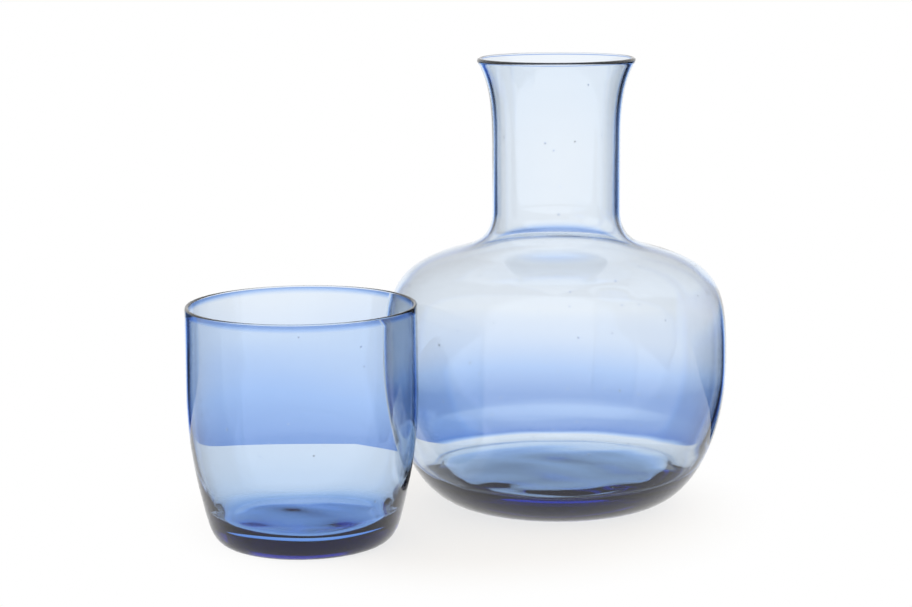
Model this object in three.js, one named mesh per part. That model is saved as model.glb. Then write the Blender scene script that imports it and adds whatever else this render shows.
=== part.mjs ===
// A mouth-blown bedside carafe with its drinking tumbler standing beside it.
// Millimetres, +Z up, both pieces rest on z = 0.
import * as THREE from 'three';

// Carafe diameters
const CARAFE_BASE_DIAMETER = 71.2; // outer edge of the ring that it stands on
const CARAFE_PUNT_DIAMETER = 50; // shallow hollow inside that ring
const CARAFE_FLOOR_DIAMETER = 84; // inside, where the floor turns up into the wall
const CARAFE_BELLY_DIAMETER = 130.2;
const CARAFE_SHOULDER_DIAMETER = 77.7; // where the crowned shoulder turns hollow
const CARAFE_NECK_DIAMETER = 48.6;
const CARAFE_LIP_DIAMETER = 59.6;

// Carafe heights, stacked from the table up to the lip
const CARAFE_BELLY_HEIGHT = 54.7;
const CARAFE_SHOULDER_RISE = 42.6;
const CARAFE_NECK_ROOT_RISE = 15.3;
const CARAFE_NECK_LENGTH = 23.3;
const CARAFE_FLARE_RISE = 33.6;

// Carafe glass thicknesses
const CARAFE_PUNT_DEPTH = 1;
const CARAFE_FLOOR_THICKNESS = 12.5;
const CARAFE_BELLY_WALL = 1.6;
const CARAFE_SHOULDER_WALL = 1.5;
const CARAFE_NECK_WALL = 1.6;
const CARAFE_LIP_WALL = 2;

// Carafe slopes, in degrees
const CARAFE_SHOULDER_SLOPE = 15.6; // below level, where the shoulder turns hollow
const CARAFE_LIP_FLARE = 30; // outwards from upright, at the lip

// Tumbler diameters
const TUMBLER_BASE_DIAMETER = 57;
const TUMBLER_PUNT_DIAMETER = 38;
const TUMBLER_FLOOR_DIAMETER = 51.6;
const TUMBLER_HEEL_DIAMETER = 70.3; // where the rounded heel becomes the wall
const TUMBLER_RIM_DIAMETER = 83.4;
const TUMBLER_BELLY_SWELL = 0.4; // how much wider than the rim the wall bulges

// Tumbler heights, stacked from the table up to the rim
const TUMBLER_HEEL_HEIGHT = 8;
const TUMBLER_WALL_RISE = 48.5;
const TUMBLER_RIM_RISE = 29.5;

// Tumbler glass thicknesses
const TUMBLER_PUNT_DEPTH = 1;
const TUMBLER_FLOOR_THICKNESS = 7.3;
const TUMBLER_HEEL_WALL = 1.8;
const TUMBLER_BELLY_WALL = 1.8;
const TUMBLER_RIM_WALL = 1.6;

// Tumbler slope at the top of its heel, in degrees outwards from upright
const TUMBLER_HEEL_SLOPE = 14.7;

// How full each curve is: the length of its end handles as a share of its own span
const SHOULDER_FULLNESS = { below: 0.625, above: 0.98 };
const NECK_ROOT_FULLNESS = { below: 0.57, above: 0.69 };
const FLARE_FULLNESS = { below: 0.45, above: 0.3 };
const PUNT_FULLNESS = { middle: 0.45, edge: 0.45 };
const HEEL_FULLNESS = { below: 0.5, above: 0.55 };
const WALL_FULLNESS = { below: 0.385, above: 0.345 };

// Where the tumbler stands, seen from above with the carafe in the middle
const TUMBLER_BEARING = 211.2; // degrees from +X towards +Y: to the left and in front
const STANDING_GAP = 3; // clear space between the two bellies

// Facets
const SIDES = 48;
const CURVE_STEPS = 6;
const LIP_STEPS = 4;

const GLASS_COLOR = 0xaac6fa;
const GLASS_OPACITY = 0.4;
const GLASS_ROUGHNESS = 0.03;

const tumblerBellyRadius = (TUMBLER_RIM_DIAMETER + TUMBLER_BELLY_SWELL) / 2;

const degrees = THREE.MathUtils.degToRad;
const point = (radius, height) => new THREE.Vector2(radius, height);

// A curve from one point to another, with the direction and length of its handle at each end.
function bend(start, startHandle, endHandle, end) {
  return new THREE.CubicBezierCurve(start, start.clone().add(startHandle), end.clone().sub(endHandle), end);
}

// A handle of a given length, leaning outwards from upright by an angle in degrees.
function leaning(angle, length) {
  return point(Math.sin(degrees(angle)), Math.cos(degrees(angle))).multiplyScalar(length);
}

// The underside: a shallow hollow in the middle, then the flat ring that touches the table.
function underside(puntRadius, puntDepth, baseRadius) {
  const middle = point(0, puntDepth);
  const edge = point(puntRadius, 0);
  const outOf = point(PUNT_FULLNESS.middle * puntRadius, 0);
  const into = point(PUNT_FULLNESS.edge * puntRadius, -PUNT_FULLNESS.edge * puntDepth);
  return [bend(middle, outOf, into, edge), new THREE.LineCurve(edge, point(baseRadius, 0))];
}

// One side of the carafe's glass, from its floor up to its lip.
function carafeSide({ floor, belly, shoulder, neckFoot, neckTop, lip }) {
  const shoulderTurn = CARAFE_SHOULDER_SLOPE - 90;
  const bellyRise = shoulder.y - belly.y;
  const shoulderSpan = belly.x - shoulder.x;
  const rootSpan = shoulder.x - neckFoot.x;
  const rootRise = neckFoot.y - shoulder.y;
  const flareRise = lip.y - neckTop.y;
  return [
    new THREE.EllipseCurve(floor.x, belly.y, belly.x - floor.x, belly.y - floor.y, -Math.PI / 2, 0),
    bend(
      belly,
      point(0, SHOULDER_FULLNESS.below * bellyRise),
      leaning(shoulderTurn, SHOULDER_FULLNESS.above * shoulderSpan),
      shoulder,
    ),
    bend(
      shoulder,
      leaning(shoulderTurn, NECK_ROOT_FULLNESS.below * rootSpan),
      point(0, NECK_ROOT_FULLNESS.above * rootRise),
      neckFoot,
    ),
    new THREE.LineCurve(neckFoot, neckTop),
    bend(
      neckTop,
      point(0, FLARE_FULLNESS.below * flareRise),
      leaning(CARAFE_LIP_FLARE, FLARE_FULLNESS.above * flareRise),
      lip,
    ),
  ];
}

// One side of the tumbler's glass, from its floor up to its rim.
function tumblerSide({ floor, heel, belly, rim }) {
  const heelRise = heel.y - floor.y;
  const wallRise = belly.y - heel.y;
  return [
    bend(
      floor,
      point(HEEL_FULLNESS.below * (heel.x - floor.x), 0),
      leaning(TUMBLER_HEEL_SLOPE, HEEL_FULLNESS.above * heelRise),
      heel,
    ),
    bend(
      heel,
      leaning(TUMBLER_HEEL_SLOPE, WALL_FULLNESS.below * wallRise),
      point(0, WALL_FULLNESS.above * wallRise),
      belly,
    ),
    new THREE.LineCurve(belly, rim),
  ];
}

// The fire-polished edge that rolls from the outer side over to the inner one.
function rolledEdge(outer, inner) {
  const middle = outer.clone().add(inner).multiplyScalar(0.5);
  const radius = outer.distanceTo(inner) / 2;
  return new THREE.EllipseCurve(middle.x, middle.y, radius, radius, 0, Math.PI);
}

// Points along a chain of curves, each joint met once: a straight stretch needs only its ends.
function pointsAlong(curves) {
  const runs = curves.map((curve) => curve.getPoints(curve instanceof THREE.LineCurve ? 1 : CURVE_STEPS));
  return runs.flatMap((run, i) => (i ? run.slice(1) : run));
}

// A closed vessel, turned from its underside up the outer side, over the edge and down the inner side.
function turnedVessel(name, bottom, outerSide, innerSide) {
  const edge = rolledEdge(outerSide.at(-1).getPoint(1), innerSide.at(-1).getPoint(1));
  const middleOfFloor = point(0, innerSide[0].getPoint(0).y);
  const outline = [
    ...pointsAlong([...bottom, ...outerSide]),
    ...edge.getPoints(LIP_STEPS).slice(1, -1),
    ...pointsAlong(innerSide).reverse(),
    middleOfFloor,
  ];
  const geometry = new THREE.LatheGeometry(outline, SIDES).rotateX(Math.PI / 2);
  const material = new THREE.MeshStandardMaterial({
    color: GLASS_COLOR,
    roughness: GLASS_ROUGHNESS,
    metalness: 0,
    transparent: true,
    opacity: GLASS_OPACITY,
  });
  const vessel = new THREE.Mesh(geometry, material);
  vessel.name = name;
  return vessel;
}

function makeCarafe() {
  const shoulderHeight = CARAFE_BELLY_HEIGHT + CARAFE_SHOULDER_RISE;
  const neckFootHeight = shoulderHeight + CARAFE_NECK_ROOT_RISE;
  const neckTopHeight = neckFootHeight + CARAFE_NECK_LENGTH;
  const lipHeight = neckTopHeight + CARAFE_FLARE_RISE;
  const outer = {
    floor: point(CARAFE_BASE_DIAMETER / 2, 0),
    belly: point(CARAFE_BELLY_DIAMETER / 2, CARAFE_BELLY_HEIGHT),
    shoulder: point(CARAFE_SHOULDER_DIAMETER / 2, shoulderHeight),
    neckFoot: point(CARAFE_NECK_DIAMETER / 2, neckFootHeight),
    neckTop: point(CARAFE_NECK_DIAMETER / 2, neckTopHeight),
    lip: point(CARAFE_LIP_DIAMETER / 2, lipHeight),
  };
  const inner = {
    floor: point(CARAFE_FLOOR_DIAMETER / 2, CARAFE_FLOOR_THICKNESS),
    belly: point(outer.belly.x - CARAFE_BELLY_WALL, outer.belly.y),
    shoulder: outer.shoulder.clone().sub(leaning(CARAFE_SHOULDER_SLOPE, CARAFE_SHOULDER_WALL)),
    neckFoot: point(outer.neckFoot.x - CARAFE_NECK_WALL, outer.neckFoot.y),
    neckTop: point(outer.neckTop.x - CARAFE_NECK_WALL, outer.neckTop.y),
    lip: point(outer.lip.x - CARAFE_LIP_WALL, outer.lip.y),
  };
  const bottom = underside(CARAFE_PUNT_DIAMETER / 2, CARAFE_PUNT_DEPTH, outer.floor.x);
  return turnedVessel('carafe', bottom, carafeSide(outer), carafeSide(inner));
}

function makeTumbler() {
  const bellyHeight = TUMBLER_HEEL_HEIGHT + TUMBLER_WALL_RISE;
  const outer = {
    floor: point(TUMBLER_BASE_DIAMETER / 2, 0),
    heel: point(TUMBLER_HEEL_DIAMETER / 2, TUMBLER_HEEL_HEIGHT),
    belly: point(tumblerBellyRadius, bellyHeight),
    rim: point(TUMBLER_RIM_DIAMETER / 2, bellyHeight + TUMBLER_RIM_RISE),
  };
  const inner = {
    floor: point(TUMBLER_FLOOR_DIAMETER / 2, TUMBLER_FLOOR_THICKNESS),
    heel: point(outer.heel.x - TUMBLER_HEEL_WALL, TUMBLER_FLOOR_THICKNESS + TUMBLER_HEEL_HEIGHT),
    belly: point(outer.belly.x - TUMBLER_BELLY_WALL, outer.belly.y),
    rim: point(outer.rim.x - TUMBLER_RIM_WALL, outer.rim.y),
  };
  const bottom = underside(TUMBLER_PUNT_DIAMETER / 2, TUMBLER_PUNT_DEPTH, outer.floor.x);
  return turnedVessel('tumbler', bottom, tumblerSide(outer), tumblerSide(inner));
}

// The tumbler stands beside the carafe, and the pair is centred on the origin.
const carafe = makeCarafe();
const tumbler = makeTumbler();
const standingDistance = CARAFE_BELLY_DIAMETER / 2 + STANDING_GAP + tumblerBellyRadius;
tumbler.position.x = standingDistance * Math.cos(degrees(TUMBLER_BEARING));
tumbler.position.y = standingDistance * Math.sin(degrees(TUMBLER_BEARING));

const pair = new THREE.Group();
pair.add(carafe, tumbler);
const middle = new THREE.Box3().setFromObject(pair).getCenter(new THREE.Vector3());
for (const piece of pair.children) {
  piece.position.x -= middle.x;
  piece.position.y -= middle.y;
}

export default pair;
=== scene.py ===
"""A blown-glass carafe and its tumbler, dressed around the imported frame. Metres, +Z up."""
import math

import bpy
import numpy as np
from mathutils import Matrix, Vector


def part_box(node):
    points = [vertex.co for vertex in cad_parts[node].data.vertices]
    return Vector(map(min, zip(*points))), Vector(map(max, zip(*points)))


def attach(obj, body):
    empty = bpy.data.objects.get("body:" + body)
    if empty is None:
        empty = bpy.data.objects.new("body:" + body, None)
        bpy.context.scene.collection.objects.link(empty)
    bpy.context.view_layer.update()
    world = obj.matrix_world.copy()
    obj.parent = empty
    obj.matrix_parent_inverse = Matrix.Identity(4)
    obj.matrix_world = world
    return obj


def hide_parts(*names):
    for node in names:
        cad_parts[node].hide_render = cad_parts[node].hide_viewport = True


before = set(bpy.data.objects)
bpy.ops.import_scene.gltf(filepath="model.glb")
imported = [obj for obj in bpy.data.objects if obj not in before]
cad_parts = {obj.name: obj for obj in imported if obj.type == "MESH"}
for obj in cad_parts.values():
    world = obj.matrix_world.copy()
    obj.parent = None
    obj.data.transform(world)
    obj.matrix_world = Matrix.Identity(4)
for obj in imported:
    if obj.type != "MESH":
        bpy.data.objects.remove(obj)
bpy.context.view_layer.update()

MM = 0.001
TURNS = 192  # facets around each vessel
STEPS = 26  # points along each curve of an outline
UPRIGHT_STEPS = 12  # points along an upright stretch
RING_STEPS = 6  # points across the flat ring that a vessel stands on

# Carafe, in millimetres
CARAFE = dict(
    base=35.6, punt=25.0, punt_depth=0.3,
    floor=46.0, floor_height=10.5, dish=-1.6, corner_height=24.0, fullness=0.5, ripple=0.1,
    foot_wall=1.0, foot_height=15.0, wall_height=48.0,
    belly=65.1, belly_height=54.7, belly_wall=1.6,
    shoulder=38.85, shoulder_height=97.3, shoulder_wall=1.5, shoulder_slope=15.6,
    neck=24.3, neck_foot=112.6, neck_top=135.9, neck_wall=1.6,
    lip=29.8, lip_height=169.0, lip_wall=2.0, lip_flare=30.0,
)
# Tumbler, in millimetres
TUMBLER = dict(
    base=28.5, punt=19.0, punt_depth=0.4,
    floor=26.5, floor_height=7.3, dish=-1.8, corner_height=13.0, fullness=0.55, ripple=0.2,
    heel=35.15, heel_height=8.0, heel_slope=14.7,
    foot_wall=1.2, foot_height=12.0, wall_height=30.0,
    belly=41.9, belly_height=56.5, belly_wall=1.45,
    rim=41.7, rim_height=86.0, rim_wall=1.4,
)
# Handles of the outlines' curves, as shares of the stretch that each one spans
CARAFE_HANDLES = dict(
    belly=0.625, shoulder_below=0.98, shoulder_above=0.57, neck_foot=0.69, neck_top=0.45, lip=0.3,
)
TUMBLER_HANDLES = dict(base=0.5, heel_below=0.55, heel_above=0.385, belly=0.345)
PUNT_HANDLE = 0.45
FLOOR_HANDLES = dict(middle=0.5, edge=0.3, edge_rise=0.6)
FLOOR_VALUES = ("floor", "floor_height", "dish", "corner_height", "fullness")


def point(radius, height):
    return np.array([radius, height], float)


def leaning(angle, length):
    """A handle of that length, leaning outwards from upright by an angle in degrees."""
    return length * point(math.sin(math.radians(angle)), math.cos(math.radians(angle)))


def bend(start, start_handle, end_handle, end):
    t = np.linspace(0, 1, STEPS + 1)[:, None]
    a, b = start + start_handle, end - end_handle
    return (1 - t) ** 3 * start + 3 * (1 - t) ** 2 * t * a + 3 * (1 - t) * t ** 2 * b + t ** 3 * end


def arc(center, radii, start, end):
    t = np.linspace(start, end, STEPS + 1)
    return np.column_stack([center[0] + radii[0] * np.cos(t), center[1] + radii[1] * np.sin(t)])


def line(start, end, steps):
    return start + np.linspace(0, 1, steps + 1)[:, None] * (end - start)


def joined(runs):
    """One run of points from several that meet end to end."""
    return np.vstack([runs[0]] + [run[1:] for run in runs[1:]])


def underside(vessel):
    """The hollow under a base, and the flat ring around it."""
    edge, reach = point(vessel["punt"], 0), PUNT_HANDLE * vessel["punt"]
    hollow = bend(point(0, vessel["punt_depth"]), point(reach, 0),
                  point(reach, -PUNT_HANDLE * vessel["punt_depth"]), edge)
    return joined([hollow, line(edge, point(vessel["base"], 0), RING_STEPS)])


def carafe_side():
    c, share = CARAFE, CARAFE_HANDLES
    turn = c["shoulder_slope"] - 90
    base, belly = point(c["base"], 0), point(c["belly"], c["belly_height"])
    shoulder, foot = point(c["shoulder"], c["shoulder_height"]), point(c["neck"], c["neck_foot"])
    top, lip = point(c["neck"], c["neck_top"]), point(c["lip"], c["lip_height"])
    return joined([
        arc((base[0], belly[1]), (belly - base), -math.pi / 2, 0),
        bend(belly, point(0, share["belly"] * (shoulder - belly)[1]),
             leaning(turn, share["shoulder_below"] * (belly - shoulder)[0]), shoulder),
        bend(shoulder, leaning(turn, share["shoulder_above"] * (shoulder - foot)[0]),
             point(0, share["neck_foot"] * (foot - shoulder)[1]), foot),
        line(foot, top, UPRIGHT_STEPS),
        bend(top, point(0, share["neck_top"] * (lip - top)[1]),
             leaning(c["lip_flare"], share["lip"] * (lip - top)[1]), lip),
    ])


def tumbler_side():
    t, share = TUMBLER, TUMBLER_HANDLES
    slope = t["heel_slope"]
    base, heel = point(t["base"], 0), point(t["heel"], t["heel_height"])
    belly, rim = point(t["belly"], t["belly_height"]), point(t["rim"], t["rim_height"])
    rise = (belly - heel)[1]
    return joined([
        bend(base, point(share["base"] * (heel - base)[0], 0),
             leaning(slope, share["heel_below"] * heel[1]), heel),
        bend(heel, leaning(slope, share["heel_above"] * rise), point(0, share["belly"] * rise), belly),
        line(belly, rim, UPRIGHT_STEPS),
    ])


def thicker_foot(height, vessel):
    """How much thicker the wall grows down to its foot, with a smooth start."""
    low, high = vessel["foot_height"], vessel["wall_height"]
    return vessel["foot_wall"] * np.clip((high - height) / (high - low), 0, 1) ** 2


def inner_side(outer, thickness, floor, floor_height, dish, corner_height, fullness):
    """The inside, from the middle of the floor over a rounded corner, then one wall behind the outer side."""
    along = np.gradient(outer, axis=0)
    along /= np.linalg.norm(along, axis=1)[:, None]
    normal = np.column_stack([along[:, 1], -along[:, 0]])
    wall = outer - normal * thickness[:, None]
    above = wall[:, 1] > corner_height
    wall, along = wall[above], along[above]
    middle, edge = point(0, floor_height - dish), point(floor, floor_height)
    rise = wall[0][1] - floor_height
    flat = bend(middle, point(FLOOR_HANDLES["middle"] * floor, 0),
                point(FLOOR_HANDLES["edge"] * floor, FLOOR_HANDLES["edge_rise"] * dish), edge)
    corner = bend(edge, point(fullness * (wall[0] - edge)[0], 0),
                  fullness * rise / along[0][1] * along[0], wall[0])
    return joined([flat, corner, wall])


def rolled_edge(outer, inner):
    """Half a turn over the rim, from the outer side to the inner one."""
    middle, across = (outer + inner) / 2, (outer - inner) / 2
    t = np.linspace(0, math.pi, STEPS // 2 + 1)[:, None]
    return middle + np.cos(t) * across + np.sin(t) * point(-across[1], across[0])


def vessel_outline(vessel, outer, stations, walls):
    """A vessel's whole outline, with its walls at named heights, and how many of its points are inside."""
    thickness = np.interp(outer[:, 1], [vessel[k] for k in stations], [vessel[k] for k in walls])
    thickness += thicker_foot(outer[:, 1], vessel)
    inner = inner_side(outer, thickness, *(vessel[k] for k in FLOOR_VALUES))
    return joined([underside(vessel), outer, rolled_edge(outer[-1], inner[-1]), inner[::-1]]), len(inner)


def carafe_outline():
    return vessel_outline(
        CARAFE, carafe_side(), ("belly_height", "shoulder_height", "neck_foot", "neck_top", "lip_height"),
        ("belly_wall", "shoulder_wall", "neck_wall", "neck_wall", "lip_wall"))


def tumbler_outline():
    return vessel_outline(TUMBLER, tumbler_side(), ("belly_height", "rim_height"), ("belly_wall", "rim_wall"))


# Hand-made unevenness of the inside, in millimetres
WALL_RIPPLE = 0.07
RIM_FADE = 20.0  # height below the rim over which it fades
OVAL_CLIMB, THREE_SIDED_CLIMB = 24.0, 17.0  # height over which each wave shifts by a radian
FLOOR_RIPPLE_END = 8.0  # height above the floor where the floor's ripple ends
FLOOR_RIPPLE_FADE = 6.0  # height over which it fades
SWIRL_ACROSS, SWIRL_ALONG = (8.0, 1.3, 9.0), (6.5, 0.9, 11.0)  # length, sway and the sway's length


def swaying(along, across, length, sway, sway_length):
    return along / length + sway * np.sin(across / sway_length)


def ripples(radius, height, angle, vessel):
    """How far the inside is out of true: along the radius on the wall and in height on the floor."""
    x, y = radius * np.cos(angle), radius * np.sin(angle)
    floor_height = vessel["floor_height"]
    swirl = np.sin(swaying(x, y, *SWIRL_ACROSS)) * np.cos(swaying(y, x, *SWIRL_ALONG) + floor_height)
    floor = np.clip((floor_height + FLOOR_RIPPLE_END - height) / FLOOR_RIPPLE_FADE, 0, 1)
    rim = np.clip((height.max() - height) / RIM_FADE, 0, 1)
    oval = np.sin(2 * angle + height / OVAL_CLIMB) + 0.5 * np.sin(3 * angle - height / THREE_SIDED_CLIMB)
    return WALL_RIPPLE * oval * (1 - floor) * rim, vessel["ripple"] * swirl * floor


def turned(name, outline, inside, vessel, node):
    """A closed mesh turned from an outline that starts and ends on the axis of a CAD node."""
    low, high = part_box(node)
    axis = (low + high) / 2
    angles = np.linspace(0, 2 * math.pi, TURNS, endpoint=False)
    radius = np.repeat(outline[1:, :1], TURNS, axis=1)
    height = np.repeat(outline[1:, 1:], TURNS, axis=1)
    wider, higher = ripples(radius[-inside:], height[-inside:], angles, vessel)
    radius[-inside:] += wider
    height[-inside:] += higher
    x = axis.x + radius[:-1] * np.cos(angles) * MM
    y = axis.y + radius[:-1] * np.sin(angles) * MM
    verts = np.stack([x, y, low.z + height[:-1] * MM], -1).reshape(-1, 3)
    bottom, top = len(verts), len(verts) + 1
    ends = [(axis.x, axis.y, low.z + outline[0][1] * MM), (axis.x, axis.y, low.z + height[-1][0] * MM)]
    rings = len(outline) - 2
    faces = []
    for j in range(TURNS):
        k = (j + 1) % TURNS
        faces.append((bottom, k, j))
        for i in range(rings - 1):
            a, b = i * TURNS, (i + 1) * TURNS
            faces.append((a + j, a + k, b + k, b + j))
        last = (rings - 1) * TURNS
        faces.append((top, last + j, last + k))
    mesh = bpy.data.meshes.new(name)
    mesh.from_pydata(np.vstack([verts, ends]).tolist(), [], faces)
    mesh.polygons.foreach_set("use_smooth", [True] * len(mesh.polygons))
    piece = bpy.data.objects.new(name, mesh)
    bpy.context.collection.objects.link(piece)
    return piece


class Graph:
    """Short calls for the nodes of one node tree."""

    def __init__(self, tree):
        self.nodes, self.links = tree.nodes, tree.links

    def put(self, socket, value):
        if isinstance(value, bpy.types.NodeSocket):
            self.links.new(value, socket)
        else:
            socket.default_value = value

    def texture(self, kind, output, **values):
        node = self.nodes.new(kind)
        for name, value in values.items():
            self.put(node.inputs[name], value)
        return node.outputs[output]

    def shader(self, kind, **values):
        return self.texture(kind, 0, **values)

    def math(self, operation, *values):
        node = self.nodes.new("ShaderNodeMath")
        node.operation = operation
        for socket, value in zip(node.inputs, values):
            self.put(socket, value)
        return node.outputs[0]

    def axes(self, vector):
        node = self.nodes.new("ShaderNodeSeparateXYZ")
        self.links.new(vector, node.inputs[0])
        return node.outputs

    def distance(self, place, spot):
        node = self.nodes.new("ShaderNodeVectorMath")
        node.operation = "DISTANCE"
        self.links.new(place, node.inputs[0])
        node.inputs[1].default_value = spot
        return node.outputs["Value"]

    def stretched(self, value, low, high, to_low=0.0, to_high=1.0, interpolation="LINEAR"):
        node = self.nodes.new("ShaderNodeMapRange")
        node.interpolation_type = interpolation
        names = ("Value", "From Min", "From Max", "To Min", "To Max")
        for name, number in zip(names, (value, low, high, to_low, to_high)):
            self.put(node.inputs[name], number)
        return node.outputs[0]

    def ease(self, value, low, high):
        """0 below low, 1 above high, and a smooth step between them; low may be the larger."""
        return self.stretched(value, low, high, interpolation="SMOOTHSTEP")

    def band(self, value, start, full, full_end, end):
        """1 from full to full_end, with smooth ends that reach 0 at start and end."""
        return self.math("MULTIPLY", self.ease(value, start, full), self.ease(value, end, full_end))

    def mix(self, factor, a, b):
        node = self.nodes.new("ShaderNodeMix")
        node.data_type = "RGBA"
        for socket, value in zip((node.inputs[0], node.inputs[6], node.inputs[7]), (factor, a, b)):
            self.put(socket, value)
        return node.outputs[2]

    def tint(self, a, b):
        color = self.mix(1.0, a, b)
        color.node.blend_type = "MULTIPLY"
        return color

    def bump(self, height, distance, normal=None):
        node = self.nodes.new("ShaderNodeBump")
        node.inputs["Distance"].default_value = distance
        self.links.new(height, node.inputs["Height"])
        if normal:
            self.links.new(normal, node.inputs["Normal"])
        return node.outputs[0]

    def blend(self, factor, a, b):
        node = self.nodes.new("ShaderNodeMixShader")
        for socket, value in zip(node.inputs, (factor, a, b)):
            self.put(socket, value)
        return node.outputs[0]

    def ramp(self, value, stops):
        """A colour that changes with a value, through stops of value and colour."""
        low, high = stops[0][0], stops[-1][0]
        node = self.nodes.new("ShaderNodeValToRGB")
        elements = node.color_ramp.elements
        while len(elements) < len(stops):
            elements.new(0.5)
        for element, (at, color) in zip(elements, stops):
            element.position = (at - low) / (high - low)
            element.color = (*color, 1)
        self.put(node.inputs[0], self.stretched(value, low, high))
        return node.outputs[0]


# Glass: colour and density of its absorption, then the marks in its surface
CARAFE_TINT = ((0.015, 0.43, 0.86), 68)
TUMBLER_TINT = ((0.015, 0.43, 0.88), 150)
GLASS_IOR = 1.5
WAVE_SCALE, WAVE_DEPTH = 24.0, 0.0002
SEED_SCALE, SEED_DEPTH = 150.0, 0.0002
SEED_EDGE = (0.06, 0.02)  # where a seed starts and is full, from the middle of its cell
SEED_CHANCE = 0.6  # cells with a lower number have no seed
POLISH_SCALE, POLISH_RANGE, ROUGHEST = 70.0, (0.5, 0.8), 0.012


def glass(name, color, density):
    """Clear tinted glass with faint waves, small seeds and a polish that isn't quite even."""
    material = bpy.data.materials.new(name)
    material.use_nodes = True
    g = Graph(material.node_tree)
    shader = g.nodes["Principled BSDF"]
    shader.inputs["Base Color"].default_value = (1, 1, 1, 1)
    shader.inputs["IOR"].default_value = GLASS_IOR
    shader.inputs["Transmission Weight"].default_value = 1
    place = g.nodes.new("ShaderNodeTexCoord").outputs["Object"]
    waves = g.texture("ShaderNodeTexNoise", "Fac", Vector=place, Scale=WAVE_SCALE, Detail=1.0)
    cells = g.texture("ShaderNodeTexVoronoi", "Distance", Vector=place, Scale=SEED_SCALE)
    chance = g.texture("ShaderNodeTexVoronoi", "Color", Vector=place, Scale=SEED_SCALE)
    seeds = g.math("MULTIPLY", g.ease(cells, *SEED_EDGE), g.math("GREATER_THAN", chance, SEED_CHANCE))
    normal = g.bump(seeds, SEED_DEPTH, g.bump(waves, WAVE_DEPTH))
    g.links.new(normal, shader.inputs["Normal"])
    polish = g.texture("ShaderNodeTexNoise", "Fac", Vector=place, Scale=POLISH_SCALE, Detail=3.0)
    roughness = g.math("MULTIPLY", g.ease(polish, *POLISH_RANGE), ROUGHEST)
    g.links.new(roughness, shader.inputs["Roughness"])
    absorb = g.shader("ShaderNodeVolumeAbsorption", Color=(*color, 1), Density=density)
    g.links.new(absorb, g.nodes["Material Output"].inputs["Volume"])
    return material


WHITE = (1, 1, 1, 1)
DARK = (0.03, 0.03, 0.032, 1)
# Dark flags around the studio: azimuth from and to, elevation from and to, in degrees
FLAGS = (
    (-72, -21, -16, 100), (-72, -64, -100, -16), (-28, -21, -100, -16), (22, 95, -100, 100),
    (-72, 95, 9, 55),
)
# The flags as reflections show them, and as they are mirrored behind glass
SIDE_CARDS = ((-60, -24, -100, -6), (24, 80, -100, -6))
CARDS = ((-72, -19, -100, 16), (-72, -64, 16, 100), (-26, -19, 16, 100), (19, 95, -100, 100))
FLAG_EDGE = 6.0  # degrees over which a flag's edge fades, to either side
# What a flag's soft edge fades through: share of cover and colour
FLAG_FADE = ((0, (1, 1, 1)), (0.3, (0.6, 0.76, 1)), (0.65, (0.16, 0.3, 0.72)), (1, DARK[:3]))
# What the backdrop's foot fades through: elevation and colour
BACKDROP = (
    (-23.5, (1, 1, 1)), (-21, (0.55, 0.72, 1)), (-18.5, (0.2, 0.34, 0.74)), (-13.4, (0.31, 0.46, 0.80)),
    (-12.26, (0.53, 0.69, 0.98)), (-10.8, (0.86, 0.91, 1)), (-9.6, (1, 1, 1)),
)
ANY = 0.5  # a ray with a depth above this has been through glass, or reflected, at least once
MANY_REFLECTIONS = 1.5  # a look with more of them inside the glass ends in the dark, a painted shade
STRAIGHT = (-16, -12, 2, 6)  # elevations at which it stays bright, as through a plain wall


def studio_world():
    """White to the camera, with the flags and the backdrop's foot for what the glass shows."""
    world = bpy.data.worlds.new("studio")
    bpy.context.scene.world = world
    world.use_nodes = True
    g = Graph(world.node_tree)
    x, y, z = g.axes(g.nodes.new("ShaderNodeTexCoord").outputs["Generated"])
    azimuth = g.math("DEGREES", g.math("ARCTAN2", x, y))
    elevation = g.math("DEGREES", g.math("ARCSINE", z))
    ray = g.nodes.new("ShaderNodeLightPath").outputs

    def soft(value, start, end):
        return g.band(value, start - FLAG_EDGE, start + FLAG_EDGE, end - FLAG_EDGE, end + FLAG_EDGE)

    def cover(flags):
        """How much of a direction the flags cover."""
        dark = 0.0
        for left, right, low, high in flags:
            flag = g.math("MULTIPLY", soft(azimuth, left, right), soft(elevation, low, high))
            dark = g.math("MAXIMUM", dark, flag)
        return dark

    through = g.tint(g.ramp(elevation, BACKDROP), g.ramp(cover(FLAGS), FLAG_FADE))
    behind_glass = g.math("GREATER_THAN", ray["Transmission Depth"], ANY)
    mirrored = g.mix(behind_glass, g.ramp(cover(SIDE_CARDS), FLAG_FADE), g.ramp(cover(CARDS), FLAG_FADE))
    color = g.mix(ray["Is Glossy Ray"], WHITE, mirrored)
    many = g.math("GREATER_THAN", ray["Glossy Depth"], MANY_REFLECTIONS)
    many = g.math("MULTIPLY", many, g.math("SUBTRACT", 1.0, g.band(elevation, *STRAIGHT)))
    color = g.mix(ray["Is Transmission Ray"], color, g.mix(many, through, DARK))
    g.links.new(g.mix(ray["Is Camera Ray"], color, WHITE), g.nodes["Background"].inputs["Color"])


# The table, in metres
FLOOR_REACH = 4.0
FLOOR_DROP = 0.0003
# Warm, to paint a warm shade into the table near the pair, over its rendered shadow
FLOOR_WARM_SHADE_PAINT = (0.95, 0.84, 0.7, 1)
FLOOR_GLOW = 0.76  # share of plain white in the table near the pair, where its shadow shows
SHADOW = (0.06, 0.12)  # how far from the middle of the pair its shadow fades away
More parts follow.
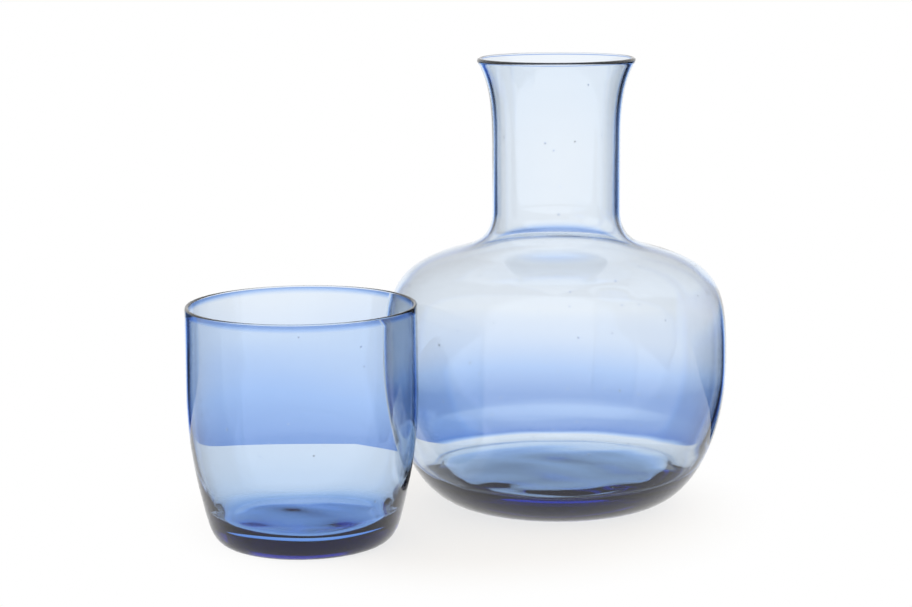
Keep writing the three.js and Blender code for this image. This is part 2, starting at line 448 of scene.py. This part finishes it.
# Far edge of the table as glass shows it, nearer behind the carafe than behind the tumbler
FLOOR_BACK = ((-0.045, 0.103), (0.0, 0.068))
FLOOR_GLOSS, GLOSS_ROUGHNESS = 0.93, 0.1  # share of gloss in the table as glass shows it
GLOW_RING = (0.020, 0.012)  # how far past a base the table under it is painted bright, a pool of light as glass shows it
FRONT = (-0.13, -0.09, -0.024, -0.014)  # a stretch in front that looks reflected in the glass find dark
SIDES = ((-0.115, -0.135), (0.105, 0.125))  # where they find the table to the left and right dark too


def studio_floor():
    """One plain sheet: pale with a soft shadow to the camera, and what the glass shows of it."""
    mesh = bpy.data.meshes.new("table")
    corners = [(-FLOOR_REACH, -FLOOR_REACH), (FLOOR_REACH, -FLOOR_REACH),
               (FLOOR_REACH, FLOOR_REACH), (-FLOOR_REACH, FLOOR_REACH)]
    mesh.from_pydata([(x, y, -FLOOR_DROP) for x, y in corners], [], [range(len(corners))])
    floor = bpy.data.objects.new("table", mesh)
    bpy.context.collection.objects.link(floor)
    material = bpy.data.materials.new("table")
    material.use_nodes = True
    g = Graph(material.node_tree)
    warm_shade_paint = g.shader("ShaderNodeBsdfDiffuse", Color=FLOOR_WARM_SHADE_PAINT)
    glow = g.shader("ShaderNodeEmission", Color=WHITE, Strength=1.0)
    shade = g.shader("ShaderNodeEmission", Color=DARK, Strength=1.0)
    gloss = g.shader("ShaderNodeBsdfGlossy", Color=WHITE, Roughness=GLOSS_ROUGHNESS)
    ray = g.nodes.new("ShaderNodeLightPath").outputs
    place = g.nodes.new("ShaderNodeNewGeometry").outputs["Position"]
    x, y, _ = g.axes(place)

    # What the camera sees: near the pair, the rendered shadow with a painted warm shade, fading to plain
    # white
    away = g.ease(g.distance(place, (0, 0, 0)), *SHADOW)
    seen = g.blend(away, g.blend(FLOOR_GLOW, warm_shade_paint, glow), glow)

    # What a look through the glass finds
    # Painted light: the table under each base glows plain white as glass shows it
    under = 0.0
    for node, vessel in (("carafe", CARAFE), ("tumbler", TUMBLER)):
        low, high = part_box(node)
        distance = g.distance(place, ((low.x + high.x) / 2, (low.y + high.y) / 2, -FLOOR_DROP))
        base = vessel["base"] * MM
        under = g.math("MAXIMUM", under, g.ease(distance, *(base + past for past in GLOW_RING)))
    # Painted shade: a dark sheet on the table in front and to the sides, for looks reflected inside the glass
    beside = g.math("MAXIMUM", *(g.ease(x, *ends) for ends in SIDES))
    beside = g.math("MULTIPLY", beside, g.ease(y, *FRONT[:2]))
    dark = g.math("MAXIMUM", g.band(y, *FRONT), beside)
    dark = g.math("MULTIPLY", dark, g.math("GREATER_THAN", ray["Glossy Depth"], ANY))
    around = g.blend(dark, g.blend(FLOOR_GLOSS, warm_shade_paint, gloss), shade)
    # Painted shade: a look that reflected more than once inside the glass finds the table dark
    many = g.math("GREATER_THAN", ray["Glossy Depth"], MANY_REFLECTIONS)
    seen_through = g.blend(many, g.blend(under, around, glow), shade)

    # Past the far edge, glass shows the backdrop
    (left, left_back), (right, right_back) = FLOOR_BACK
    beyond = g.math("GREATER_THAN", y, g.stretched(x, left, right, left_back, right_back))
    by_glass = g.math("MAXIMUM", ray["Is Transmission Ray"], ray["Is Glossy Ray"])
    clear = g.shader("ShaderNodeBsdfTransparent")

    surface = g.blend(ray["Is Glossy Ray"], warm_shade_paint, glow)
    surface = g.blend(ray["Is Camera Ray"], surface, seen)
    surface = g.blend(ray["Is Transmission Ray"], surface, seen_through)
    surface = g.blend(g.math("MULTIPLY", beyond, by_glass), surface, clear)
    g.links.new(surface, g.nodes["Material Output"].inputs["Surface"])
    g.nodes.remove(g.nodes["Principled BSDF"])
    mesh.materials.append(material)


# Camera, at the photograph's viewing angle
CAMERA_PLACE = (-0.003, -0.868, 0.231)
CAMERA_DOWN, CAMERA_ROLL = 9.9, -0.4  # degrees
LENS, SENSOR = 92.37, 36  # millimetres


def place_camera():
    camera = bpy.data.objects.new("camera", bpy.data.cameras.new("camera"))
    bpy.context.collection.objects.link(camera)
    camera.data.sensor_width = SENSOR
    camera.data.lens = LENS
    camera.matrix_world = (
        Matrix.Translation(CAMERA_PLACE)
        @ Matrix.Rotation(math.radians(90 - CAMERA_DOWN), 4, "X")
        @ Matrix.Rotation(math.radians(CAMERA_ROLL), 4, "Z")
    )
    bpy.context.scene.camera = camera


for body, outline, vessel, tint in (
    ("carafe", carafe_outline(), CARAFE, CARAFE_TINT),
    ("tumbler", tumbler_outline(), TUMBLER, TUMBLER_TINT),
):
    name = body + "_glass"
    piece = turned(name, *outline, vessel, body)
    piece.data.materials.append(glass(name, *tint))
    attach(piece, body)
    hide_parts(body)

studio_world()
studio_floor()
place_camera()

scene = bpy.context.scene
scene.view_settings.view_transform = "Standard"
# Enough bounces for looks through four walls of glass
scene.cycles.max_bounces = 32
scene.cycles.transmission_bounces = 32
scene.cycles.glossy_bounces = 16
